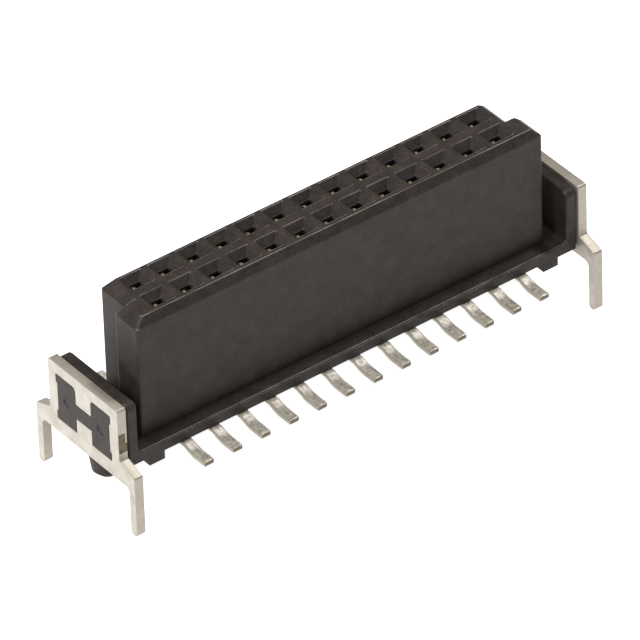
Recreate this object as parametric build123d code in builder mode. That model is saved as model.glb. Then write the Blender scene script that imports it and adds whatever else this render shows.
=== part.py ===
from build123d import *
import os

os.makedirs("parts", exist_ok=True)

# Vertical two-row receptacle for surface mounting, with board-lock clips at both ends.
# The frame: X runs along the rows, the front row is on the -Y side, Z is the mating direction,
# and Z = 0 is the face of the circuit board under the feet and the solder tails.

# Contact grid
columns = 13
pitch = 1.27
row_spacing = 1.27

# Heights above the board
body_top_z = 5.95
ledge_z = 0.79
base_bottom_z = 0.36

# Contact block, seen from above a T: the front half is longer than the rear half
front_end_margin = 1.52
rear_end_margin = 1.02
side_wall = 0.365
key_step_y = -0.08
body_corner_radius = 0.12
key_corner_chamfer = 0.05
rim_drop = 0.36
front_rim_inset = 0.2
rear_rim_inset = 0.28
end_rim_inset = 0.37
key_step_rim_inset = 0.21

# Base flange, feet and end walls
ledge_width = 0.61
foot_length = 0.68
foot_depth = 0.9
foot_inset = 0.19
channel_width = 0.58
channel_fillet = 0.22
end_wall_thickness = 0.46
end_wall_height = 2.68
end_wall_corner_radius = 0.26
edge_chamfer = 0.06

# Entry of each cavity
entry_width = 0.44
entry_depth = 0.29
funnel_run = 0.28
funnel_drop = 0.28
lip_thickness = 0.13

# Cavity behind the lip, and the tighter slot that holds the foot of the contact
cavity_width = 0.66
cavity_depth = 0.86
slot_width = 0.5
slot_height = 1.75

# Contact strip and its two spring beams
strip_thickness = 0.16
strip_width = 0.42
contact_clearance = 0.02
beam_gap = 0.14
beam_tip_opening = 0.34
beam_tip_width = 0.22
tip_corner_run = 0.06
tip_corner_drop = 0.07
beam_nip_drop = 0.36
beam_taper_length = 1.4
tip_clearance = 0.07
web_height = 1.1
web_clearance = 0.06
barb_height = 0.3
barb_length = 0.36

# Solder tail
tail_bend_radius = 0.12
tail_gap = 0.04
tail_ramp_start = 0.1
tail_ramp_length = 0.5
tail_ramp_radius = 0.4
tail_reach = 1.32

# Board-lock clip
clip_thickness = 0.38
clip_gap = 0.07
clip_overhang = 0.04
clip_height = 3.1
clip_corner_chamfer = 0.06
arm_reach = 0.88
arm_root_height = 0.88
arm_tip_height = 0.57
leg_width = 0.34
leg_length = 2.05
leg_tip_chamfer = 0.11
leg_tip_coining = 0.08
leg_root_radius = 0.22
tab_stub_height = 1.2
tab_stub_length = 0.78
tab_stub_reach = 0.03

# H-shaped window of the clip and the boss that fills it
window_side_frame = 0.52
window_bottom_frame = 0.62
window_top_frame = 0.46
tongue_width = 0.9
tongue_rise = 0.64
bridge_height = 0.66
notch_corner_chamfer = 0.05
pad_corner_radius = 0.18
notch_depth = 0.08
notch_height = 0.4
boss_clearance = 0.015
gate_mark_radius = 0.2
gate_mark_depth = 0.03

# Locating pegs, a little behind the middle so that the part fits its board one way round only
peg_radius = 0.66
peg_offset_y = 0.42
peg_length = 1.7
peg_straight_length = 0.8
peg_root_height = 0.1
peg_root_flare = 0.02
peg_taper = 0.09
peg_tip_chamfer = 0.25
peg_clearance = 0.13

# Sizes that follow from the ones above
grid_half_length = (columns - 1) * pitch / 2
row_y = row_spacing / 2
front_half_length = grid_half_length + front_end_margin
rear_half_length = grid_half_length + rear_end_margin
body_half_depth = row_y + cavity_depth / 2 + side_wall
base_half_depth = body_half_depth + ledge_width
rim_bottom_z = body_top_z - rim_drop
lip_z = body_top_z - funnel_drop - lip_thickness
slot_top_z = base_bottom_z + slot_height
slot_lead_in = tail_bend_radius - contact_clearance
end_wall_inner_x = front_half_length + channel_width
end_wall_outer_x = end_wall_inner_x + end_wall_thickness
end_wall_top_z = base_bottom_z + end_wall_height
foot_x = front_half_length - foot_inset
foot_y = base_half_depth - foot_depth / 2
clip_inner_x = end_wall_outer_x + clip_gap
clip_outer_x = clip_inner_x + clip_thickness
clip_half_width = base_half_depth + clip_overhang
leg_outer_y = clip_half_width + arm_reach
leg_inner_y = leg_outer_y - leg_width
window_half_width = clip_half_width - window_side_frame
window_height = clip_height - window_bottom_frame - window_top_frame
peg_x = clip_inner_x - peg_clearance - peg_root_flare - peg_radius


def body_outline(front_inset=0, rear_inset=0, end_inset=0, step_inset=0):
    """The T-shaped outline of the contact block with its corners rounded, drawn in by the insets."""
    front_x = front_half_length - end_inset
    rear_x = rear_half_length - end_inset
    front_y = front_inset - body_half_depth
    rear_y = body_half_depth - rear_inset
    step_y = key_step_y - step_inset
    with BuildSketch(mode=Mode.PRIVATE) as outline:
        with BuildLine():
            Polyline(
                (-front_x, front_y),
                (front_x, front_y),
                (front_x, step_y),
                (rear_x, step_y),
                (rear_x, rear_y),
                (-rear_x, rear_y),
                (-rear_x, step_y),
                (-front_x, step_y),
                close=True,
            )
        make_face()
        key_corners = outline.vertices().filter_by(
            lambda corner: abs(corner.Y - step_y) < 0.001 and abs(abs(corner.X) - rear_x) < 0.001
        )
        chamfer(key_corners, key_corner_chamfer)
        outer_corners = outline.vertices().filter_by(
            lambda corner: abs(abs(corner.X) - front_x) < 0.001 or abs(corner.Y - rear_y) < 0.001
        )
        fillet(outer_corners, body_corner_radius)
    return outline.sketch


def window_outline(margin):
    """The H of the clip window, drawn smaller all round by the margin.

    Local X is the object's Y, and local Y is its Z.
    """
    half_width = window_half_width - margin
    height = window_height - 2 * margin
    middle_z = window_bottom_frame + window_height / 2
    top_z = middle_z + height / 2
    bottom_z = middle_z - height / 2
    tongue = tongue_width + 2 * margin
    bridge_bottom_z = window_bottom_frame + tongue_rise + margin
    bridge_top_z = window_bottom_frame + tongue_rise + bridge_height - margin
    with BuildSketch(mode=Mode.PRIVATE) as outline:
        with Locations((0, middle_z)):
            Rectangle(2 * half_width, height)
        with Locations((0, top_z)):
            Rectangle(2 * (half_width + notch_depth), notch_height - margin, align=(Align.CENTER, Align.MAX))
            Rectangle(tongue, top_z - bridge_top_z, align=(Align.CENTER, Align.MAX), mode=Mode.SUBTRACT)
        with Locations((0, bottom_z)):
            Rectangle(2 * (half_width + notch_depth), notch_height - margin, align=(Align.CENTER, Align.MIN))
            Rectangle(tongue, bridge_bottom_z - bottom_z, align=(Align.CENTER, Align.MIN), mode=Mode.SUBTRACT)
        pad_corners = outline.vertices().filter_by(
            lambda corner: corner.Y > top_z - 0.001 and abs(abs(corner.X) - tongue / 2) < 0.001
        )
        fillet(pad_corners, pad_corner_radius)
        notch_corners = outline.vertices().filter_by(lambda corner: abs(corner.X) > half_width + 0.001)
        chamfer(notch_corners, notch_corner_chamfer)
    return outline.sketch


def mitred_strip(path, thickness):
    """The corners of an even strip along a path, mitred at its bends and cut square at its ends."""
    points = [Vector(*point) for point in path]
    legs = [(after - before).normalized() for before, after in zip(points, points[1:])]
    one_side = []
    other_side = []
    for point, leg_in, leg_out in zip(points, legs[:1] + legs, legs + legs[-1:]):
        across = (leg_in + leg_out).rotate(Axis.Z, 90).normalized()
        reach = thickness / 2 / across.dot(leg_out.rotate(Axis.Z, 90))
        one_side.append(point + across * reach)
        other_side.append(point - across * reach)
    return one_side + other_side[::-1]


# The housing, one black moulding
with BuildPart() as housing:
    # Contact block, with a steep bevel round its rim that is widest at the ends
    with BuildSketch(Plane.XY.offset(base_bottom_z)):
        add(body_outline())
    extrude(amount=rim_bottom_z - base_bottom_z)
    with BuildSketch(Plane.XY.offset(rim_bottom_z)):
        add(body_outline())
    with BuildSketch(Plane.XY.offset(body_top_z)):
        add(body_outline(front_rim_inset, rear_rim_inset, end_rim_inset, key_step_rim_inset))
    loft(ruled=True)

    # Base flange under the block, turned up at both ends into the end walls
    with BuildSketch(Plane.XZ) as base_profile:
        with BuildLine():
            Polyline(
                (0, base_bottom_z),
                (end_wall_outer_x, base_bottom_z),
                (end_wall_outer_x, end_wall_top_z),
                (end_wall_inner_x, end_wall_top_z),
                (end_wall_inner_x, ledge_z),
                (0, ledge_z),
            )
            mirror(about=Plane.YZ)
        make_face()
        channel_corners = base_profile.vertices().filter_by(
            lambda corner: abs(corner.Y - ledge_z) < 0.001 and abs(corner.X) > 0.001
        )
        fillet(channel_corners, channel_fillet)
    extrude(amount=base_half_depth, both=True)

    # Rounded shoulders of the end walls, and softened edges round them and along the ledge
    shoulders = (
        housing.edges()
        .filter_by(Axis.X)
        .filter_by(lambda edge: abs(edge.center().X) > end_wall_inner_x)
        .filter_by(lambda edge: edge.center().Z > end_wall_top_z - 0.001)
    )
    fillet(shoulders, end_wall_corner_radius)
    wall_rims = (
        housing.faces()
        .filter_by(Axis.X)
        .filter_by(lambda face: abs(face.center().X) > end_wall_inner_x - 0.001)
        .edges()
        .filter_by(lambda edge: edge.center().Z > base_bottom_z + 0.001)
        .filter_by(lambda edge: abs(edge.center().Y) > 0.001 or edge.center().Z > end_wall_top_z - 0.001)
    )
    chamfer(wall_rims, edge_chamfer)

    # Stand-off feet at the four corners
    with BuildSketch():
        with GridLocations(2 * foot_x, 2 * foot_y, 2, 2):
            Rectangle(foot_length, foot_depth)
    extrude(amount=base_bottom_z)

    # Locating pegs below both ends, flared a little at the root and tapered towards a chamfered tip
    for side in (-1, 1):
        peg_foot = (side * peg_x, peg_offset_y, 0)
        with BuildSketch(Plane(origin=peg_foot, x_dir=(1, 0, 0), z_dir=(0, -1, 0))):
            with BuildLine():
                Polyline(
                    (0, base_bottom_z),
                    (peg_radius + peg_root_flare, base_bottom_z),
                    (peg_radius, peg_root_height),
                    (peg_radius, -peg_straight_length),
                    (peg_radius - peg_taper, -peg_length + peg_tip_chamfer),
                    (peg_radius - peg_taper - peg_tip_chamfer, -peg_length),
                    (0, -peg_length),
                    close=True,
                )
            make_face()
        revolve(axis=Axis(peg_foot, (0, 0, 1)))

    # H-shaped bosses that fill the windows of the clips, with a round gate mark on each pad
    gate_mark_y = (window_half_width + tongue_width / 2) / 2
    gate_mark_z = window_bottom_frame + window_height / 2
    for side in (-1, 1):
        with BuildSketch(Plane.YZ.offset(side * end_wall_outer_x)):
            add(window_outline(boss_clearance))
        extrude(amount=side * (clip_outer_x - end_wall_outer_x))
        with BuildSketch(Plane.YZ.offset(side * clip_outer_x)):
            with Locations((-gate_mark_y, gate_mark_z), (gate_mark_y, gate_mark_z)):
                Circle(gate_mark_radius)
        extrude(amount=-side * gate_mark_depth, mode=Mode.SUBTRACT)

    # Entries with their lead-in funnels, cavities, and the slots that hold the contacts
    with BuildSketch(Plane.XY.offset(lip_z)):
        with GridLocations(pitch, row_spacing, columns, 2):
            Rectangle(entry_width, entry_depth)
    extrude(amount=body_top_z - lip_z, mode=Mode.SUBTRACT)
    mating_face = housing.faces().sort_by(Axis.Z)[-1]
    chamfer(mating_face.inner_wires().edges(), length=funnel_run, length2=funnel_drop, reference=mating_face)
    with BuildSketch(Plane.XY.offset(slot_top_z)):
        with GridLocations(pitch, row_spacing, columns, 2):
            Rectangle(cavity_width, cavity_depth)
    extrude(amount=lip_z - slot_top_z, mode=Mode.SUBTRACT)
    with BuildSketch(Plane.XY.offset(base_bottom_z)):
        with GridLocations(pitch, row_spacing, columns, 2):
            Rectangle(slot_width, cavity_depth)
    extrude(amount=slot_height, mode=Mode.SUBTRACT)
    slot_mouths = (
        housing.edges()
        .filter_by(lambda edge: abs(edge.center().Z - base_bottom_z) < 0.001)
        .filter_by(lambda edge: abs(edge.center().X) < grid_half_length + pitch / 2)
        .filter_by(lambda edge: abs(edge.center().Y) < body_half_depth)
    )
    chamfer(slot_mouths, slot_lead_in)

housing.part.label = "housing"
export_step(housing.part, "parts/housing.step")


# One contact, drawn with its cavity centred on X = Y = 0 and its solder tail towards -Y
leg_y = cavity_depth / 2 - contact_clearance - strip_thickness / 2
nip_y = beam_gap / 2 + strip_thickness / 2
tip_y = beam_tip_opening / 2 + strip_thickness / 2
contact_foot_z = base_bottom_z + web_clearance
web_top_z = contact_foot_z + web_height
tip_z = lip_z - tip_clearance
nip_z = tip_z - beam_nip_drop
tail_run_z = base_bottom_z - tail_gap - strip_thickness / 2
tail_root_y = base_half_depth - row_y + tail_ramp_start
tail_end_y = base_half_depth - row_y + tail_reach
bend_radius = tail_bend_radius + strip_thickness / 2
barb_z = web_top_z - barb_height

with BuildPart() as contact:
    # Side view: two beams that close towards each other and open again at their tips, and the
    # outer one's foot formed out under the base and down to the board as the solder tail
    with BuildSketch(Plane.YZ):
        with BuildLine():
            FilletPolyline(
                (-tail_end_y, strip_thickness / 2),
                (-tail_root_y - tail_ramp_length, strip_thickness / 2),
                (-tail_root_y, tail_run_z),
                (-leg_y, tail_run_z),
                (-leg_y, web_top_z),
                radius=(tail_ramp_radius, tail_ramp_radius, bend_radius),
            )
        trace(line_width=strip_thickness)
        beam_path = ((-leg_y, web_top_z), (-leg_y, slot_top_z), (-nip_y, nip_z), (-tip_y, tip_z))
        with BuildLine():
            Polyline(*mitred_strip(beam_path, strip_thickness), close=True)
        make_face()
        beam_path = ((leg_y, contact_foot_z), (leg_y, slot_top_z), (nip_y, nip_z), (tip_y, tip_z))
        with BuildLine():
            Polyline(*mitred_strip(beam_path, strip_thickness), close=True)
        make_face()
    extrude(amount=slot_width / 2, both=True)

    # Front outline: full width with a barb on each edge, then tapered to a rounded tip
    tip_half_width = beam_tip_width / 2
    taper_z = nip_z - beam_taper_length
    with BuildSketch(Plane.XZ) as front_view:
        with BuildLine():
            Polyline(
                (strip_width / 2, -strip_thickness),
                (strip_width / 2, barb_z - barb_length),
                (slot_width / 2, barb_z),
                (strip_width / 2, barb_z),
                (strip_width / 2, taper_z),
                (tip_half_width, tip_z - tip_corner_drop),
            )
            Polyline(
                (tip_half_width, tip_z - tip_corner_drop),
                (tip_half_width - tip_corner_run, tip_z),
                (tip_corner_run - tip_half_width, tip_z),
                (-tip_half_width, tip_z - tip_corner_drop),
                (-strip_width / 2, taper_z),
                (-strip_width / 2, barb_z),
                (-slot_width / 2, barb_z),
                (-strip_width / 2, barb_z - barb_length),
                (-strip_width / 2, -strip_thickness),
                (strip_width / 2, -strip_thickness),
            )
        make_face()
    extrude(amount=tail_end_y + strip_thickness, both=True, mode=Mode.INTERSECT)

    # Web that joins the two beams along one side
    with BuildSketch(Plane.YZ.offset(-strip_width / 2)):
        with Locations((0, contact_foot_z)):
            Rectangle(2 * leg_y, web_height, align=(Align.CENTER, Align.MIN))
    extrude(amount=strip_thickness)

for column in range(columns):
    x = column * pitch - grid_half_length
    front_contact = contact.part.moved(Location((x, -row_y, 0)))
    front_contact.label = f"contact_front_{column + 1:02d}"
    export_step(front_contact, f"parts/{front_contact.label}.step")
    rear_contact = contact.part.moved(Location((x, row_y, 0), (0, 0, 180)))
    rear_contact.label = f"contact_rear_{column + 1:02d}"
    export_step(rear_contact, f"parts/{rear_contact.label}.step")


# The left board-lock clip: a flat plate with a window, two arms and two solder legs
with BuildPart() as clip_left:
    with BuildSketch(Plane.YZ.offset(-clip_outer_x)) as clip_face:
        with BuildLine():
            Polyline(
                (0, clip_height),
                (clip_half_width, clip_height),
                (clip_half_width, arm_root_height),
                (leg_outer_y, arm_tip_height),
                (leg_outer_y, -leg_length),
                (leg_inner_y, -leg_length),
                (leg_inner_y, 0),
                (0, 0),
            )
            mirror(about=Plane.YZ)
        make_face()
        chamfer(clip_face.vertices().group_by(Axis.Y)[0], leg_tip_chamfer)
        leg_roots = clip_face.vertices().filter_by(
            lambda corner: abs(corner.Y) < 0.001 and abs(corner.X) > clip_half_width
        )
        fillet(leg_roots, leg_root_radius)
        plate_and_arm_corners = clip_face.vertices().filter_by(
            lambda corner: corner.Y > arm_tip_height - 0.001 and abs(corner.X) > clip_half_width - 0.001
        )
        chamfer(plate_and_arm_corners, clip_corner_chamfer)
        add(window_outline(0), mode=Mode.SUBTRACT)
    extrude(amount=clip_thickness)

    # Coined tips of the legs, so that they find their holes
    leg_tips = (
        clip_left.edges()
        .filter_by(Axis.Y)
        .filter_by(lambda edge: edge.center().Z < -leg_length + 0.001)
    )
    chamfer(leg_tips, leg_tip_coining)

    # Stub of the carrier tab, sheared off on one side edge
    with BuildSketch(Plane.YZ.offset(-clip_outer_x)):
        with Locations((-clip_half_width, tab_stub_height)):
            Rectangle(2 * tab_stub_reach, tab_stub_length, align=(Align.CENTER, Align.MIN))
    extrude(amount=clip_thickness)

# The right clip is the same stamping, turned about the mating axis
clip_right = clip_left.part.moved(Location((0, 0, 0), (0, 0, 180)))

clip_left.part.label = "clip_left"
export_step(clip_left.part, "parts/clip_left.step")
clip_right.label = "clip_right"
export_step(clip_right, "parts/clip_right.step")
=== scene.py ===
"""Upright two-row surface-mount receptacle: looks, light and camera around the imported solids.

Every length in the classes below is in millimetres, and is turned into metres where a mesh,
a material, a lamp or the camera is made. X runs along the contact rows, the longer keyed half of the
moulding is on the -Y side, and Z = 0 is the face of the circuit board.
"""

import logging
import math
from dataclasses import dataclass
from enum import Enum

import bmesh
import bpy
from mathutils import Matrix, Vector

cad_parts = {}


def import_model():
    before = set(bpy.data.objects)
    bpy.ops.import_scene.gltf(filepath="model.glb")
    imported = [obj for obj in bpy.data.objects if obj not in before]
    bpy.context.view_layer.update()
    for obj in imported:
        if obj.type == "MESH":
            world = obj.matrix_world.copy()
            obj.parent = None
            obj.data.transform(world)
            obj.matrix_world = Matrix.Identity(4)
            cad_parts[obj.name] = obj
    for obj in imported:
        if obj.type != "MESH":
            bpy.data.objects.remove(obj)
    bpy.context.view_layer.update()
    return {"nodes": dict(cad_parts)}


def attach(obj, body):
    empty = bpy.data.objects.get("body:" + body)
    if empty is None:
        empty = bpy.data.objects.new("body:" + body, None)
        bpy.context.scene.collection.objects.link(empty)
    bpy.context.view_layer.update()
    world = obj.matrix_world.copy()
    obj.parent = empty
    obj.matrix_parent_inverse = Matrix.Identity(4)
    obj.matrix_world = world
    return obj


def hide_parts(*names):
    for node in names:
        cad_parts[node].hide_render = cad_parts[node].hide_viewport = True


LOG = logging.getLogger("receptacle")
MM = 0.001

COLUMNS = 13
PITCH = 1.27
ROW_Y = 0.635

Colour = tuple[float, float, float, float]
Span = tuple[float, float]
Socket = bpy.types.NodeSocket

# The stretch of a fine noise over which a surface goes from its smoothest to its roughest
GRAIN_SPAN: Span = (0.3, 0.7)
# Edges that turn by more than this are rounded
SHARP_ANGLE = math.radians(30)


class Side(Enum):
    """The two ends of the moulding, as the sign of X."""

    LEFT = -1
    RIGHT = 1


class Row(Enum):
    """The two contact rows, as the sign of Y."""

    FRONT = -1
    REAR = 1


class ClipFace(Enum):
    """The kinds of surface of a clip, as the numbers of its materials."""

    PLATED = 0
    SHEARED = 1
    BARE = 2


@dataclass(frozen=True)
class Grain:
    """One noise: the size of its coarsest grains, how many finer octaves it has and how strong they
    are, and how many times longer the grains are along X, Y and Z.
    """

    size: float
    octaves: float
    roughness: float
    stretch: tuple[float, float, float] = (1, 1, 1)


class NodeSheet:
    """A small drawing board for one node material."""

    def __init__(self, name: str) -> None:
        """Starts an empty material.

        Args:
            name: The material's name.
        """
        self.material = bpy.data.materials.new(name)
        self.material.use_nodes = True
        self.tree = self.material.node_tree
        self.tree.nodes.clear()
        self.output = self.tree.nodes.new("ShaderNodeOutputMaterial")
        self._millimetres = None

    def node(self, kind: str, **settings: object) -> bpy.types.Node:
        """Adds a node.

        Args:
            kind: The node's type without the ShaderNode prefix.
            settings: Properties to set on it.

        Returns:
            The new node.
        """
        made = self.tree.nodes.new("ShaderNode" + kind)
        for key, value in settings.items():
            setattr(made, key, value)
        return made

    def feed(self, target: Socket, value: object) -> None:
        """Sets an input, or links an output to it.

        Args:
            target: The input socket.
            value: A number, a tuple, or another node's output socket.
        """
        if isinstance(value, Socket):
            self.tree.links.new(value, target)
        else:
            target.default_value = value

    def millimetres(self) -> Socket:
        """Object coordinates in millimetres, made once for the whole sheet.

        Returns:
            The coordinates.
        """
        if self._millimetres is None:
            place = self.node("TexCoord").outputs["Object"]
            scaled = self.node("VectorMath", operation="SCALE")
            self.feed(scaled.inputs[0], place)
            self.feed(scaled.inputs["Scale"], 1 / MM)
            self._millimetres = scaled.outputs[0]
        return self._millimetres

    def split(self, vector: Socket) -> tuple[Socket, ...]:
        """Takes a vector apart.

        Args:
            vector: The vector.

        Returns:
            Its X, Y and Z.
        """
        made = self.node("SeparateXYZ")
        self.feed(made.inputs[0], vector)
        return tuple(made.outputs)

    def facing(self) -> tuple[Socket, ...]:
        """X, Y and Z of the surface's own normal."""
        return self.split(self.node("TexCoord").outputs["Normal"])

    def noise(self, grain: Grain) -> Socket:
        """Noise in the object's own coordinates.

        Args:
            grain: What its grains are like.

        Returns:
            Its factor, from 0 to 1.
        """
        place = self.millimetres()
        if grain.stretch != (1, 1, 1):
            mapped = self.node("Mapping")
            self.feed(mapped.inputs["Vector"], place)
            self.feed(mapped.inputs["Scale"], tuple(1 / times for times in grain.stretch))
            place = mapped.outputs[0]
        made = self.node("TexNoise")
        self.feed(made.inputs["Vector"], place)
        self.feed(made.inputs["Scale"], 1 / grain.size)
        self.feed(made.inputs["Detail"], grain.octaves)
        self.feed(made.inputs["Roughness"], grain.roughness)
        return made.outputs["Fac"]

    def math(self, operation: str, *values: object) -> Socket:
        """One step of arithmetic.

        Args:
            operation: The Math node's operation.
            values: Its inputs in order.

        Returns:
            The result.
        """
        made = self.node("Math", operation=operation)
        for target, value in zip(made.inputs, values):
            self.feed(target, value)
        return made.outputs[0]

    def ramp(self, value: Socket, span: Span, result: Span = (0, 1)) -> Socket:
        """Maps a span of a value to another span, held at its ends.

        Args:
            value: The value.
            span: Where the change starts and ends.
            result: What is given at and below its start, and at and above its end.

        Returns:
            The mapped value.
        """
        made = self.node("MapRange")
        names = ("Value", "From Min", "From Max", "To Min", "To Max")
        for name, number in zip(names, (value, *span, *result)):
            self.feed(made.inputs[name], number)
        return made.outputs[0]

    def mix(self, share: Socket, first: object, second: object) -> Socket:
        """Mixes two colours.

        Args:
            share: How much of the second one.
            first: A colour or an output.
            second: A colour or an output.

        Returns:
            The mixed colour.
        """
        made = self.node("Mix", data_type="RGBA")
        self.feed(made.inputs["Factor"], share)
        self.feed(made.inputs["A"], first)
        self.feed(made.inputs["B"], second)
        return made.outputs["Result"]

    def bump(self, height: Socket, depth: float, strength: float, normal: Socket | None = None) -> Socket:
        """A bumped normal.

        Args:
            height: The height map, from 0 to 1.
            depth: How deep it is, in millimetres.
            strength: The share of it that is used.
            normal: The normal it starts from, if not the surface's own.

        Returns:
            The normal.
        """
        made = self.node("Bump")
        self.feed(made.inputs["Height"], height)
        self.feed(made.inputs["Distance"], depth * MM)
        self.feed(made.inputs["Strength"], strength)
        if normal is not None:
            self.feed(made.inputs["Normal"], normal)
        return made.outputs[0]

    def round_edges(self, radius: float) -> Socket:
        """The normal of a surface whose sharp edges are rounded.

        Args:
            radius: The radius, in millimetres.

        Returns:
            The normal.
        """
        made = self.node("Bevel", samples=6)
        self.feed(made.inputs["Radius"], radius * MM)
        return made.outputs[0]

    def hemmed_in(self, reach: float, inside: bool = False) -> Socket:
        """How much of a point's surroundings the piece itself takes up, from 0 to 1.

        Args:
            reach: How far round the point is looked, in millimetres.
            inside: Looks into the solid, which finds its outward edges, and not out of it,
                which finds its recesses.

        Returns:
            The share.
        """
        made = self.node("AmbientOcclusion", samples=8, inside=inside, only_local=True)
        self.feed(made.inputs["Distance"], reach * MM)
        return self.math("SUBTRACT", 1.0, made.outputs["AO"])

    def principled(self, **sockets: object) -> bpy.types.Material:
        """Ends the sheet with a Principled shader.

        Args:
            sockets: Its inputs, with underscores for the spaces in their names.

        Returns:
            The finished material.
        """
        shader = self.node("BsdfPrincipled")
        for key, value in sockets.items():
            self.feed(shader.inputs[key.replace("_", " ")], value)
        self.tree.links.new(shader.outputs[0], self.output.inputs["Surface"])
        return self.material


@dataclass(frozen=True)
class MouldedPlastic:
    """Black glass-filled moulding, matt, mottled and flecked, with a painted highlight along its upper
    outward edges, painted shade in its recesses, and pale fibres painted to show most on faces that look
    up.

    A span is the stretch of a noise, a normal or a share over which an effect comes in.
    """

    dark: Colour = (0.0150, 0.0106, 0.0083, 1)
    light: Colour = (0.0395, 0.0286, 0.0228, 1)
    fibre: Colour = (0.15, 0.135, 0.13, 1)
    # Painted shade: the colour the moulding is darkened towards in its recesses, corners and channels
    recess_shade: Colour = (0.008, 0.007, 0.006, 1)
    # Painted highlight: the pale colour put along the upper outward edges, where light catches their
    # rounding
    painted_edge_highlight: Colour = (0.36, 0.33, 0.32, 1)
    mottle: Grain = Grain(0.55, 3, 0.6)
    mottle_share: float = 0.55
    fleck: Grain = Grain(0.075, 2, 0.6)
    tone_span: Span = (0.38, 0.64)
    fibres: Grain = Grain(0.04, 1, 0.5)
    fibre_span: Span = (0.58, 0.78)
    # How strongly the fibres show, from side faces to faces that look up: painted light, more on top
    fibre_top_light_shares: Span = (0.15, 0.42)
    upward_span: Span = (0.2, 0.75)
    edge_radius: float = 0.06
    # Reach and spans of the painted edge highlight
    highlight_reach: float = 0.13
    highlight_span: Span = (0.05, 0.24)
    lengthways_span: Span = (0.02, 0.12)
    # A coarse noise that breaks the painted edge highlight into patches
    highlight_breaks: Grain = Grain(0.9, 2, 0.6)
    highlight_break_span: Span = (0.36, 0.6)
    highlight_break_shares: Span = (0.3, 1.0)
    # How far round a point the painted recess shade looks, and how strong it gets
    shade_reach: float = 0.4
    shade_span: Span = (0.06, 0.5)
    shade_share: float = 0.6
    bump_depth: float = 0.005
    bump_strength: float = 0.7
    roughness: Span = (0.46, 0.62)
    specular: float = 0.24

    def speckled(self, sheet: NodeSheet, flecks: Socket, upward: Socket) -> Socket:
        """The mottled moulding with its pale fibres, painted to show most on faces that look up, as if lit
        from above.

        Args:
            sheet: The material's sheet.
            flecks: The fine noise.
            upward: How far a face looks up, from 0 to 1.

        Returns:
            The colour.
        """
        clouds = sheet.math("MULTIPLY", sheet.noise(self.mottle), self.mottle_share)
        tone = sheet.math("ADD", clouds, sheet.math("MULTIPLY", flecks, 1 - self.mottle_share))
        body = sheet.mix(sheet.ramp(tone, self.tone_span), self.dark, self.light)
        fibres = sheet.ramp(sheet.noise(self.fibres), self.fibre_span)
        # Painted light: the real fibres are made to show more on faces that look up
        top_lit_fibres = sheet.math("MULTIPLY", fibres, sheet.ramp(upward, (0, 1), self.fibre_top_light_shares))
        return sheet.mix(top_lit_fibres, body, self.fibre)

    def edge_highlight_share(self, sheet: NodeSheet, normal: Socket, upward: Socket) -> Socket:
        """Where the painted edge highlight goes: along outward edges that run with the rows and look up,
        broken into patches by a noise.

        Args:
            sheet: The material's sheet.
            normal: The normal with its edges rounded.
            upward: How far a face looks up, from 0 to 1.

        Returns:
            The share, from 0 to 1.
        """
        highlight_breaks = sheet.ramp(sheet.noise(self.highlight_breaks), self.highlight_break_span, self.highlight_break_shares)
        turned = sheet.math("SUBTRACT", sheet.split(normal)[1], sheet.facing()[1])
        lengthways = sheet.ramp(sheet.math("ABSOLUTE", turned), self.lengthways_span)
        edges = sheet.ramp(sheet.hemmed_in(self.highlight_reach, inside=True), self.highlight_span)
        edge = sheet.math("MULTIPLY", edges, lengthways)
        return sheet.math("MULTIPLY", sheet.math("MULTIPLY", edge, upward), highlight_breaks)

    def material(self) -> bpy.types.Material:
        """Builds the material.

        Returns:
            The material.
        """
        sheet = NodeSheet("moulded_black_plastic")
        flecks = sheet.noise(self.fleck)
        upward = sheet.ramp(sheet.facing()[2], self.upward_span)
        normal = sheet.round_edges(self.edge_radius)
        # Painted shade: darker where the piece closes round a point, in recesses, corners and channels
        painted_recess_shade = sheet.ramp(sheet.hemmed_in(self.shade_reach), self.shade_span, (0, self.shade_share))
        shaded = sheet.mix(painted_recess_shade, self.speckled(sheet, flecks, upward), self.recess_shade)
        return sheet.principled(
            # Painted highlight along the upper outward edges over the moulding's colour
            Base_Color=sheet.mix(self.edge_highlight_share(sheet, normal, upward), shaded, self.painted_edge_highlight),
            Roughness=sheet.ramp(flecks, GRAIN_SPAN, self.roughness),
            Specular_IOR_Level=self.specular,
            Normal=sheet.bump(flecks, self.bump_depth, self.bump_strength, normal),
        )


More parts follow.
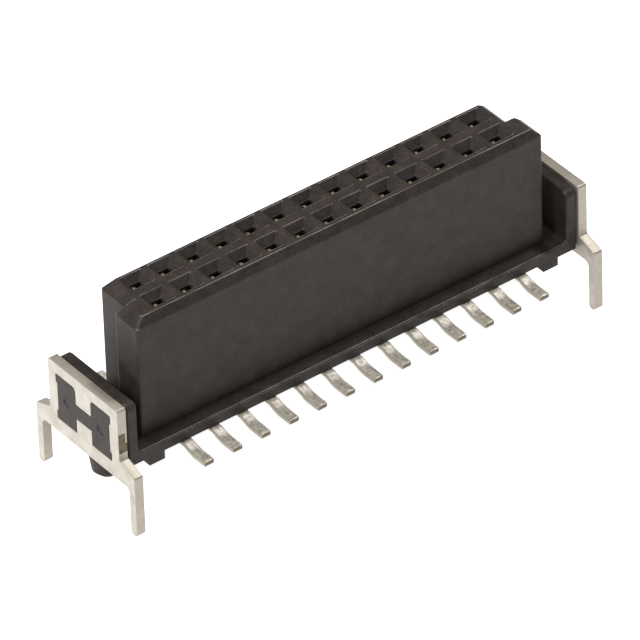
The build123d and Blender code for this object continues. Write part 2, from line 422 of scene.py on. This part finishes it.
@dataclass(frozen=True)
class PlatedStrip:
    """Copper alloy strip of the contacts: satin tin on the tails and pale gold on the beam tips."""

    tin: Colour = (0.60, 0.555, 0.48, 1)
    tin_worn: Colour = (0.26, 0.235, 0.185, 1)
    sheared: Colour = (0.36, 0.335, 0.26, 1)
    rim: Colour = (0.13, 0.11, 0.07, 1)
    gold: Colour = (1.0, 0.90, 0.50, 1)
    bare: Colour = (0.115, 0.088, 0.042, 1)
    grain: Grain = Grain(0.16, 3, 0.65)
    grain_share: float = 0.7
    streaks: Grain = Grain(0.07, 2, 0.5, (1, 8, 8))
    worn_span: Span = (0.40, 0.62)
    side_span: Span = (0.5, 0.9)
    rim_reach: float = 0.05
    rim_span: Span = (0.15, 0.45)
    rim_streak_span: Span = (0.4, 0.6)
    rim_shares: Span = (0.3, 0.75)
    gold_z: Span = (3.2, 3.6)
    cut_span: Span = (0.85, 0.97)
    cut_y: Span = (3.35, 3.355)
    edge_radius: float = 0.03
    bump_depth: float = 0.003
    bump_strength: float = 0.4
    metallic: Span = (0.3, 0.1)
    roughness: Span = (0.3, 0.42)

    def tail(self, sheet: NodeSheet, grain: Socket, streaks: Socket) -> Socket:
        """The tin of the tails, with the sheared sides and the rims where it wore through.

        Args:
            sheet: The material's sheet.
            grain: The coarse noise.
            streaks: The noise that is drawn out along the strip.

        Returns:
            The colour.
        """
        blotches = sheet.math("ADD", sheet.math("MULTIPLY", grain, self.grain_share),
                              sheet.math("MULTIPLY", streaks, 1 - self.grain_share))
        tin = sheet.mix(sheet.ramp(blotches, self.worn_span), self.tin, self.tin_worn)
        side = sheet.ramp(sheet.math("ABSOLUTE", sheet.facing()[0]), self.side_span)
        edges = sheet.ramp(sheet.hemmed_in(self.rim_reach, inside=True), self.rim_span)
        edge = sheet.math("MULTIPLY", edges, sheet.ramp(streaks, self.rim_streak_span, self.rim_shares))
        return sheet.mix(edge, sheet.mix(side, tin, self.sheared), self.rim)

    def material(self) -> bpy.types.Material:
        """Builds the material.

        Returns:
            The material.
        """
        sheet = NodeSheet("plated_contact_strip")
        _, y, z = sheet.split(sheet.millimetres())
        grain, streaks = sheet.noise(self.grain), sheet.noise(self.streaks)
        golden = sheet.ramp(z, self.gold_z)
        plated = sheet.mix(golden, self.tail(sheet, grain, streaks), self.gold)
        cut = sheet.math("MULTIPLY", sheet.ramp(sheet.math("ABSOLUTE", sheet.facing()[1]), self.cut_span),
                         sheet.ramp(sheet.math("ABSOLUTE", y), self.cut_y))
        normal = sheet.round_edges(self.edge_radius)
        return sheet.principled(
            Base_Color=sheet.mix(cut, plated, self.bare),
            Metallic=sheet.ramp(golden, (0, 1), self.metallic),
            Roughness=sheet.ramp(grain, GRAIN_SPAN, self.roughness),
            Normal=sheet.bump(streaks, self.bump_depth, self.bump_strength, normal),
        )


@dataclass(frozen=True)
class PlatedSheet:
    """Matt tin plate on the faces of the board-lock clips, a little cloudy."""

    plate: Colour = (0.53, 0.495, 0.44, 1)
    dull: Colour = (0.43, 0.395, 0.34, 1)
    clouds: Grain = Grain(0.5, 3, 0.6)
    cloud_span: Span = (0.36, 0.66)
    grain: Grain = Grain(0.06, 2, 0.6)
    edge_radius: float = 0.03
    bump_depth: float = 0.003
    bump_strength: float = 0.4
    metallic: float = 0.6
    roughness: Span = (0.44, 0.56)

    def material(self) -> bpy.types.Material:
        """Builds the material.

        Returns:
            The material.
        """
        sheet = NodeSheet("plated_clip_sheet")
        clouds = sheet.ramp(sheet.noise(self.clouds), self.cloud_span)
        grain = sheet.noise(self.grain)
        normal = sheet.round_edges(self.edge_radius)
        return sheet.principled(
            Base_Color=sheet.mix(clouds, self.plate, self.dull),
            Metallic=self.metallic,
            Roughness=sheet.ramp(grain, GRAIN_SPAN, self.roughness),
            Normal=sheet.bump(grain, self.bump_depth, self.bump_strength, normal),
        )


@dataclass(frozen=True)
class BlotchedMetal:
    """Metal in two tones that blend in blotches, and a fine bump with them."""

    name: str
    first: Colour
    second: Colour
    blotches: Grain
    span: Span
    roughness: float
    bump_depth: float
    bump_strength: float
    metallic: float = 0.6

    def material(self) -> bpy.types.Material:
        """Builds the material.

        Returns:
            The material.
        """
        sheet = NodeSheet(self.name)
        blotches = sheet.noise(self.blotches)
        return sheet.principled(
            Base_Color=sheet.mix(sheet.ramp(blotches, self.span), self.first, self.second),
            Metallic=self.metallic,
            Roughness=self.roughness,
            Normal=sheet.bump(blotches, self.bump_depth, self.bump_strength),
        )


# The plated cut edges of the clips, a shade darker than their faces and streaked through the sheet
SHEARED_EDGE = BlotchedMetal(
    name="sheared_clip_edge",
    first=(0.395, 0.355, 0.295, 1),
    second=(0.345, 0.31, 0.255, 1),
    blotches=Grain(0.09, 3, 0.6, (5, 1, 1)),
    span=(0.40, 0.66),
    roughness=0.48,
    bump_depth=0.003,
    bump_strength=0.12,
)
# The tarnished copper alloy where the carrier tab was sheared off
BARE_METAL = BlotchedMetal(
    name="bare_copper_alloy",
    first=(0.13, 0.095, 0.045, 1),
    second=(0.07, 0.055, 0.03, 1),
    blotches=Grain(0.18, 3, 0.6),
    span=(0.4, 0.65),
    roughness=0.5,
    bump_depth=0.004,
    bump_strength=0.5,
)


@dataclass(frozen=True)
class Turn:
    """A corner of a path or an outline, and the radius it is rounded to."""

    u: float
    v: float
    radius: float = 0.0


def mirrored(turns: list[Turn]) -> list[Turn]:
    """The same corners on the other side of the middle, in the same order."""
    return [Turn(-turn.u, turn.v, turn.radius) for turn in turns]


def rounded(turns: list[Turn], closed: bool, steps: int = 5) -> list[Vector]:
    """Draws a line round its corners.

    Args:
        turns: The corners in order.
        closed: Whether the last one is joined to the first.
        steps: How many pieces each arc has.

    Returns:
        The points of the line.
    """
    points = []
    for index, turn in enumerate(turns):
        here = Vector((turn.u, turn.v))
        if turn.radius == 0 or not closed and index in (0, len(turns) - 1):
            points.append(here)
            continue
        before, after = turns[index - 1], turns[(index + 1) % len(turns)]
        back = (Vector((before.u, before.v)) - here).normalized()
        ahead = (Vector((after.u, after.v)) - here).normalized()
        half = back.angle(ahead) / 2
        centre = here + (back + ahead).normalized() * (turn.radius / math.sin(half))
        first = here + back * (turn.radius / math.tan(half)) - centre
        last = here + ahead * (turn.radius / math.tan(half)) - centre
        points.extend(centre + first.slerp(last, step / steps).normalized() * turn.radius
                      for step in range(steps + 1))
    return points


def add_block(form: bmesh.types.BMesh, low: tuple[float, float, float],
              high: tuple[float, float, float]) -> list[bmesh.types.BMVert]:
    """Adds a block to a form.

    Args:
        form: The form.
        low: Its lowest corner.
        high: Its highest corner.

    Returns:
        Its corners.
    """
    low, high = Vector(low), Vector(high)
    size = Matrix.Diagonal((*(high - low), 1))
    place = Matrix.Translation((low + high) / 2)
    return bmesh.ops.create_cube(form, size=1, matrix=place @ size)["verts"]


def outward(azimuth: float, elevation: float) -> Vector:
    """The direction from the object to a lamp or the camera.

    Args:
        azimuth: Its turn round Z from -Y, in degrees.
        elevation: Its rise above the board, in degrees.

    Returns:
        The direction, one unit long.
    """
    turn, rise = math.radians(azimuth), math.radians(elevation)
    return Vector((math.sin(turn) * math.cos(rise), -math.cos(turn) * math.cos(rise), math.sin(rise)))


def settle(form: bmesh.types.BMesh, name: str, place: Matrix,
           finishes: tuple[bpy.types.Material, ...]) -> bpy.types.Object:
    """Turns a form drawn in millimetres into a piece of the object.

    Args:
        form: The form, which is used up.
        name: The piece's name.
        place: Where it goes, in millimetres.
        finishes: Its materials in the order of their numbers.

    Returns:
        The piece, at the origin, riding on the root.
    """
    bmesh.ops.recalc_face_normals(form, faces=form.faces)
    bmesh.ops.transform(form, matrix=Matrix.Scale(MM, 4) @ place, verts=form.verts)
    mesh = bpy.data.meshes.new(name)
    form.to_mesh(mesh)
    form.free()
    for finish in finishes:
        mesh.materials.append(finish)
    piece = bpy.data.objects.new(name, mesh)
    bpy.context.scene.collection.objects.link(piece)
    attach(piece, "root")
    LOG.info("%s has %d faces", name, len(mesh.polygons))
    return piece


def soften(form: bmesh.types.BMesh, radius: float, segments: int) -> None:
    """Rounds every sharp edge of a form.

    Args:
        form: The form.
        radius: How far the rounding reaches from the edge.
        segments: How many facets it has.
    """
    sharp = [edge for edge in form.edges
             if len(edge.link_faces) == 2 and edge.calc_face_angle() > SHARP_ANGLE]
    bmesh.ops.bevel(form, geom=sharp, affect="EDGES", offset=radius, offset_type="OFFSET",
                    segments=segments, profile=0.5, material=-1, loop_slide=False,
                    clamp_overlap=True)


@dataclass(frozen=True)
class FormedContact:
    """One contact, drawn round the middle of its cavity with its solder tail towards -Y.

    Two beams close towards each other and open again at their tips, a web joins them at the
    foot, and the outer one runs on under the base and down to the board.
    """

    thickness: float = 0.16
    tail_thickness: float = 0.2
    tail_full_y: float = -2.0
    half_width: float = 0.21
    tip_half_width: float = 0.11
    tip_end_half_width: float = 0.05
    taper_z: float = 3.71
    tail_end: Turn = Turn(-2.725, 0.1)
    tail_turns: tuple[Turn, ...] = (Turn(-1.96, 0.1, 1.2), Turn(-1.505, 0.24, 0.3), Turn(-0.33, 0.24, 0.2))
    beam_turns: tuple[Turn, ...] = (Turn(-0.33, 2.11, 0.5), Turn(-0.234, 3.71), Turn(-0.15, 5.11, 0.3),
                                    Turn(-0.228, 5.39), Turn(-0.25, 5.47))
    web_foot_z: float = 0.42
    web_top_z: float = 1.52
    edge_radius: float = 0.032
    edge_segments: int = 2

    def thickness_at(self, point: Vector) -> float:
        """The strip's thickness along its path: the solder tail is a little stouter past the base.

        Args:
            point: A point of the path, as Y and Z.

        Returns:
            The thickness there.
        """
        bend = self.tail_turns[1].u
        share = (bend - point.x) / (bend - self.tail_full_y)
        return self.thickness + (self.tail_thickness - self.thickness) * min(max(share, 0.0), 1.0)

    def width_at(self, point: Vector) -> float:
        """Half the strip's width along its path: the beams narrow towards their tips.

        Args:
            point: A point of the path, as Y and Z.

        Returns:
            Half the width there.
        """
        if point.y <= self.taper_z:
            return self.half_width
        neck, end = self.beam_turns[-2].v, self.beam_turns[-1].v
        if point.y <= neck:
            share = (point.y - self.taper_z) / (neck - self.taper_z)
            return self.half_width + (self.tip_half_width - self.half_width) * share
        share = (point.y - neck) / (end - neck)
        return self.tip_half_width + (self.tip_end_half_width - self.tip_half_width) * share

    def draw_strip(self, form: bmesh.types.BMesh, path: list[Vector]) -> None:
        """Extrudes the strip along a path in the plane of Y and Z, one section after the other.

        Args:
            form: The form it is added to.
            path: The middle line of the strip.
        """
        runs = [(after - before).normalized() for before, after in zip(path, path[1:])]
        ring, face = [], None
        for point, run_in, run_out in zip(path, runs[:1] + runs, runs + runs[-1:]):
            along = (run_in + run_out).normalized()
            across = Vector((-along.y, along.x)) * (self.thickness_at(point) / 2 / along.dot(run_out))
            width = self.width_at(point)
            corners = [Vector((x, point.x + across.x * lift, point.y + across.y * lift))
                       for x, lift in ((-width, -1), (width, -1), (width, 1), (-width, 1))]
            if face is None:
                ring = [bmesh.ops.create_vert(form, co=corner)["vert"][0] for corner in corners]
                face = bmesh.ops.contextual_create(form, geom=ring)["faces"][0]
                continue
            grown = bmesh.ops.extrude_face_region(form, geom=[face])["geom"]
            if len(face.edges[0].link_faces) > 2:
                bmesh.ops.delete(form, geom=[face], context="FACES_ONLY")
            fresh = [item for item in grown if isinstance(item, bmesh.types.BMVert)]
            face = next(item for item in grown if isinstance(item, bmesh.types.BMFace))
            ring = [min(fresh, key=lambda made: (made.co - old.co).length) for old in ring]
            for made, corner in zip(ring, corners):
                made.co = corner

    def build(self, row: Row, column: int, x: float, finish: bpy.types.Material) -> bpy.types.Object:
        """Makes the contact of one place in the grid.

        Args:
            row: Which row it is in.
            column: Its number from the left, from 1.
            x: Where its column is.
            finish: Its plated metal.

        Returns:
            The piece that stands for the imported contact.
        """
        form = bmesh.new()
        outer = rounded([self.tail_end, *self.tail_turns, *self.beam_turns], closed=False)
        self.draw_strip(form, outer)
        beam_y = self.beam_turns[0].u
        inner = mirrored([Turn(beam_y, self.web_foot_z), *self.beam_turns])
        self.draw_strip(form, rounded(inner, closed=False))
        add_block(form, (-self.half_width, beam_y, self.web_foot_z),
                  (self.thickness - self.half_width, -beam_y, self.web_top_z))
        soften(form, self.edge_radius, self.edge_segments)
        place = Matrix.Translation((x, row.value * ROW_Y, 0))
        if row is Row.REAR:
            place = place @ Matrix.Rotation(math.pi, 4, "Z")
        node = "contact_%s_%02d" % (row.name.lower(), column)
        piece = settle(form, "formed_" + node, place, (finish,))
        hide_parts(node)
        return piece


@dataclass(frozen=True)
class BoardLock:
    """One board-lock clip: a sheet with an H-shaped window, two arms, two solder legs and a sheared tab."""

    outer_x: float = 10.63
    thickness: float = 0.38
    height: float = 3.1
    half_width: float = 2.08
    arm_root_z: float = 0.88
    arm_tip_z: float = 0.57
    leg_outer_y: float = 2.96
    leg_inner_y: float = 2.62
    leg_length: float = 2.05
    plate_radius: float = 0.1
    arm_radius: float = 0.1
    leg_root_radius: float = 0.22
    leg_tip_radius: float = 0.155
    window_half_width: float = 1.56
    window_z: tuple[float, float] = (0.62, 2.64)
    tongue_half_width: float = 0.45
    bridge_z: tuple[float, float] = (1.26, 1.92)
    pad_radius: float = 0.18
    notch_depth: float = 0.08
    notch_height: float = 0.4
    notch_radius: float = 0.05
    stub_reach: float = 0.03
    stub_inset: float = 0.02
    # The sheared tab's foot, top and thickness, one step after the other
    stub_steps: tuple[tuple[float, float, float], ...] = ((1.2, 1.56, 0.34), (1.56, 2.0, 0.26))
    edge_radius: float = 0.045
    edge_segments: int = 3
    # A face whose normal has more X than this lies on one of the sheet's two sides
    side_normal: float = 0.98

    def outline(self) -> list[Turn]:
        """The corners of the sheet, as Y and Z.

        Returns:
            The corners in order.
        """
        half = [
            Turn(self.half_width, self.height, self.plate_radius),
            Turn(self.half_width, self.arm_root_z, self.arm_radius),
            Turn(self.leg_outer_y, self.arm_tip_z, self.arm_radius),
            Turn(self.leg_outer_y, -self.leg_length, self.leg_tip_radius),
            Turn(self.leg_inner_y, -self.leg_length, self.leg_tip_radius),
            Turn(self.leg_inner_y, 0, self.leg_root_radius),
        ]
        return half + mirrored(half[::-1])

    def window(self) -> list[Turn]:
        """The corners of the window, as Y and Z.

        Returns:
            The corners in order.
        """
        low, high = self.window_z
        wide = self.window_half_width + self.notch_depth
        half = [
            Turn(self.tongue_half_width, self.bridge_z[0]),
            Turn(self.tongue_half_width, low),
            Turn(wide, low, self.notch_radius),
            Turn(wide, low + self.notch_height, self.notch_radius),
            Turn(self.window_half_width, low + self.notch_height),
            Turn(self.window_half_width, high - self.notch_height),
            Turn(wide, high - self.notch_height, self.notch_radius),
            Turn(wide, high, self.notch_radius),
            Turn(self.tongue_half_width, high, self.pad_radius),
            Turn(self.tongue_half_width, self.bridge_z[1]),
        ]
        return half + mirrored(half[::-1])

    def build(self, side: Side, plated: bpy.types.Material, sheared: bpy.types.Material,
              bare: bpy.types.Material) -> bpy.types.Object:
        """Makes the clip of one end.

        Args:
            side: Which end.
            plated: The finish of its two faces.
            sheared: The finish of its edges.
            bare: The finish where the tab was cut off.

        Returns:
            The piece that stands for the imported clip.
        """
        form = bmesh.new()
        rims = []
        for turns in (self.outline(), self.window()):
            ring = [form.verts.new((-self.outer_x, *point)) for point in rounded(turns, closed=True)]
            rims += [form.edges.new(pair) for pair in zip(ring, ring[1:] + ring[:1])]
        filled = bmesh.ops.triangle_fill(form, use_beauty=True, edges=rims)["geom"]
        faces = [item for item in filled if isinstance(item, bmesh.types.BMFace)]
        grown = bmesh.ops.extrude_face_region(form, geom=faces)["geom"]
        moved = [item for item in grown if isinstance(item, bmesh.types.BMVert)]
        bmesh.ops.translate(form, vec=(self.thickness, 0, 0), verts=moved)
        bmesh.ops.recalc_face_normals(form, faces=form.faces)
        soften(form, self.edge_radius, self.edge_segments)
        for face in form.faces:
            face.smooth = True
            kind = ClipFace.PLATED if abs(face.normal.x) > self.side_normal else ClipFace.SHEARED
            face.material_index = kind.value
        stub_x = self.stub_inset - self.outer_x
        for low, high, across in self.stub_steps:
            corners = add_block(form, (stub_x, -self.half_width - self.stub_reach, low),
                                (stub_x + across, self.stub_reach - self.half_width, high))
            for face in {face for corner in corners for face in corner.link_faces}:
                face.material_index = ClipFace.BARE.value
        place = Matrix.Identity(4) if side is Side.LEFT else Matrix.Rotation(math.pi, 4, "Z")
        node = "clip_" + side.name.lower()
        piece = settle(form, "plated_" + node, place, (plated, sheared, bare))
        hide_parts(node)
        return piece


@dataclass(frozen=True)
class PaleFloor:
    """Plain white floor that shows white to the camera and keeps the object's shadow."""

    colour: Colour = (0.80, 0.80, 0.80, 1)
    lift: float = 0.88

    def material(self) -> bpy.types.Material:
        """Builds the material.

        Returns:
            The material.
        """
        sheet = NodeSheet("pale_floor")
        diffuse = sheet.node("BsdfDiffuse")
        sheet.feed(diffuse.inputs["Color"], self.colour)
        glow = sheet.node("Emission")
        sheet.feed(glow.inputs["Color"], (1, 1, 1, 1))
        rays = sheet.node("LightPath")
        seen = sheet.math("MAXIMUM", rays.outputs["Is Camera Ray"],
                          sheet.math("MAXIMUM", rays.outputs["Is Glossy Ray"],
                                     rays.outputs["Is Transmission Ray"]))
        sheet.feed(glow.inputs["Strength"], sheet.math("MULTIPLY", seen, self.lift))
        both = sheet.node("AddShader")
        sheet.tree.links.new(diffuse.outputs[0], both.inputs[0])
        sheet.tree.links.new(glow.outputs[0], both.inputs[1])
        sheet.tree.links.new(both.outputs[0], sheet.output.inputs["Surface"])
        return sheet.material


@dataclass(frozen=True)
class Lamp:
    """One soft lamp: where it stands round the object, and how large and strong it is."""

    name: str
    azimuth: float
    elevation: float
    distance: float
    size: float
    watts: float

    def build(self, aim: Vector) -> bpy.types.Object:
        """Makes the lamp.

        Args:
            aim: The point it looks at, in metres.

        Returns:
            The lamp's object.
        """
        data = bpy.data.lights.new(self.name, "AREA")
        data.shape = "SQUARE"
        data.size = self.size * MM
        data.energy = self.watts
        lamp = bpy.data.objects.new(self.name, data)
        bpy.context.scene.collection.objects.link(lamp)
        away = outward(self.azimuth, self.elevation)
        lamp.location = aim + away * (self.distance * MM)
        lamp.rotation_mode = "QUATERNION"
        lamp.rotation_quaternion = away.to_track_quat("Z", "Y")
        return lamp


@dataclass
class Studio:
    """Floor, world light, lamps and the camera at the photograph's angle."""

    floor_z: float = -2.05
    floor_half: float = 1000.0
    world_strength: float = 0.235
    lamps: tuple[Lamp, ...] = (
        Lamp("key_left", -98, 38, 500, 300, 1.95),
        Lamp("top_small", -20, 82, 500, 60, 0.17),
        Lamp("top_back", 165, 60, 500, 100, 0.26),
        Lamp("rear_edge", 92, 60, 400, 60, 0.75),
        Lamp("front_fill", -36, 40, 600, 20, 0.65),
    )
    lamps_aim: tuple[float, float, float] = (0, 0, 2)
    camera_azimuth: float = -36.254
    camera_elevation: float = 37.422
    camera_roll: float = -1.970
    camera_distance: float = 334.740
    camera_target: tuple[float, float, float] = (-1.4043, -1.8179, 2.5563)
    camera_clip: Span = (10, 10000)
    focal_pixels: float = 9344.0
    frame_pixels: float = 640.0
    sensor: float = 36.0

    def build_floor(self) -> bpy.types.Object:
        """Makes the floor under the legs' tips.

        Returns:
            The floor.
        """
        mesh = bpy.data.meshes.new("floor")
        form = bmesh.new()
        bmesh.ops.create_grid(form, x_segments=1, y_segments=1, size=self.floor_half * MM,
                              matrix=Matrix.Translation((0, 0, self.floor_z * MM)))
        form.to_mesh(mesh)
        form.free()
        floor = bpy.data.objects.new("floor", mesh)
        bpy.context.scene.collection.objects.link(floor)
        floor.data.materials.append(PaleFloor().material())
        return floor

    def build_world(self) -> bpy.types.World:
        """Makes the plain world light.

        Returns:
            The world.
        """
        world = bpy.data.worlds.new("soft_surroundings")
        world.use_nodes = True
        background = world.node_tree.nodes["Background"]
        background.inputs["Color"].default_value = (1, 1, 1, 1)
        background.inputs["Strength"].default_value = self.world_strength
        bpy.context.scene.world = world
        return world

    def build_camera(self) -> bpy.types.Object:
        """Makes the camera at the photograph's angle and distance.

        Returns:
            The camera.
        """
        data = bpy.data.cameras.new("camera")
        data.sensor_width = self.sensor
        data.lens = self.focal_pixels / self.frame_pixels * self.sensor
        data.clip_start, data.clip_end = (length * MM for length in self.camera_clip)
        camera = bpy.data.objects.new("camera", data)
        bpy.context.scene.collection.objects.link(camera)
        turn = math.radians(self.camera_azimuth)
        back = outward(self.camera_azimuth, self.camera_elevation)
        right = Vector((math.cos(turn), math.sin(turn), 0))
        facing = Matrix((right, back.cross(right), back)).transposed()
        rolled = facing @ Matrix.Rotation(math.radians(self.camera_roll), 3, "Z")
        camera.rotation_mode = "QUATERNION"
        camera.rotation_quaternion = rolled.to_quaternion()
        camera.location = (Vector(self.camera_target) + back * self.camera_distance) * MM
        bpy.context.scene.camera = camera
        return camera

    def build(self) -> None:
        """Makes the whole set and reports it."""
        made = [self.build_floor(), self.build_world()]
        made += [lamp.build(Vector(self.lamps_aim) * MM) for lamp in self.lamps]
        made.append(self.build_camera())
        bpy.context.scene.view_settings.view_transform = "Standard"
        LOG.info("studio: %s", ", ".join(item.name for item in made))


@dataclass
class Receptacle:
    """The connector: its packed moulding, and the formed pieces that stand for contacts and clips."""

    plastic: MouldedPlastic = MouldedPlastic()
    strip: PlatedStrip = PlatedStrip()
    plate: PlatedSheet = PlatedSheet()
    sheared: BlotchedMetal = SHEARED_EDGE
    bare: BlotchedMetal = BARE_METAL
    contact: FormedContact = FormedContact()
    clip: BoardLock = BoardLock()

    def build(self, nodes: dict[str, bpy.types.Object]) -> None:
        """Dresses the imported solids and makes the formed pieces.

        Args:
            nodes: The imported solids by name.
        """
        finishes = {
            "housing": self.plastic.material(),
            "contact": self.strip.material(),
            "clip": self.plate.material(),
        }
        for name, node in nodes.items():
            dress(node, finishes[name.split("_")[0]])
        for row in Row:
            for column in range(1, COLUMNS + 1):
                x = (column - (COLUMNS + 1) / 2) * PITCH
                self.contact.build(row, column, x, finishes["contact"])
        sheared, bare = self.sheared.material(), self.bare.material()
        for side in Side:
            self.clip.build(side, finishes["clip"], sheared, bare)


def dress(node: bpy.types.Object, material: bpy.types.Material) -> None:
    """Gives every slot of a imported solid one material.

    Args:
        node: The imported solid.
        material: The material.
    """
    if not node.data.materials:
        node.data.materials.append(material)
    for slot in node.material_slots:
        slot.material = material
    LOG.info("%s is dressed in %s", node.name, material.name)


def main() -> None:
    """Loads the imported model, dresses it and sets up the studio."""
    logging.basicConfig(level=logging.INFO, format="%(name)s: %(message)s")
    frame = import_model()
    Receptacle().build(frame["nodes"])
    Studio().build()


if __name__ == "__main__":
    main()
